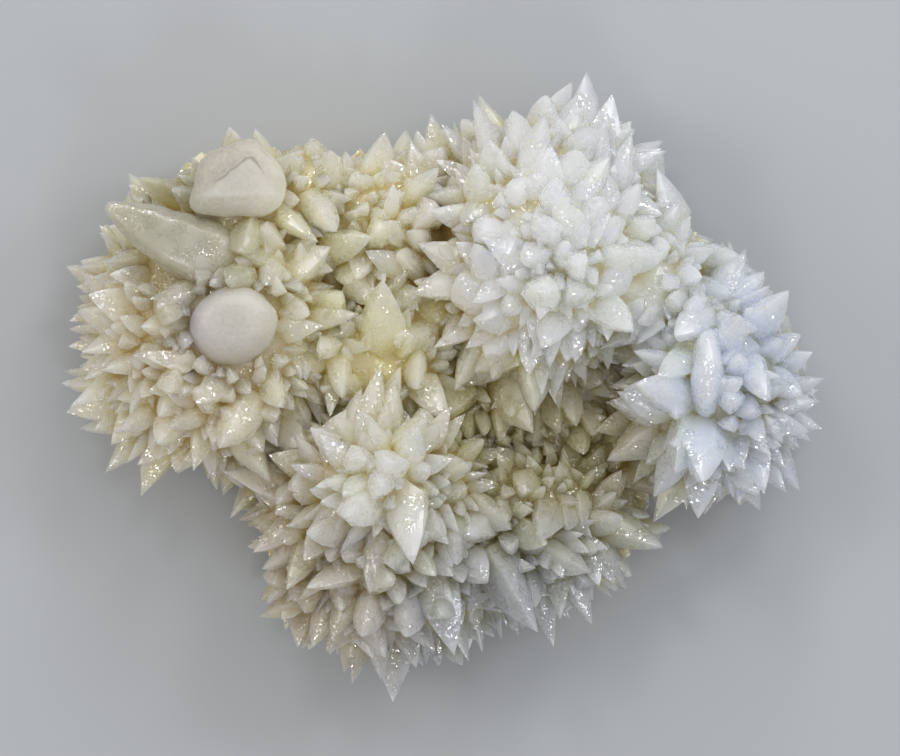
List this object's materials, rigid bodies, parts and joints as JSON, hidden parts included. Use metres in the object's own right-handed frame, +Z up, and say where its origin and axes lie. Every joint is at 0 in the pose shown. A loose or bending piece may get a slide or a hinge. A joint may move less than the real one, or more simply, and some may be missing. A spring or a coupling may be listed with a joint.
{
  "type": "calcite cluster",
  "caption": "Milky calcite cluster: dog-tooth crystals over rounded lobes, with a thick pointed crystal, a broken one and a smooth knob, cut off flat below.",
  "frame": {"origin": "middle of the flat face it rests on, under the middle of its length and width", "axes": "+X along the longest way across the cluster, +Y the short way across it, +Z up from the flat face, towards the crystals"},
  "size_m": [0.254, 0.21, 0.0985],
  "materials": {
    "calcite": "milky, wet lustre on the crystal faces"
  },
  "bodies": {
    "root": {"calcite_cluster": "calcite"}
  },
  "joints": []
}
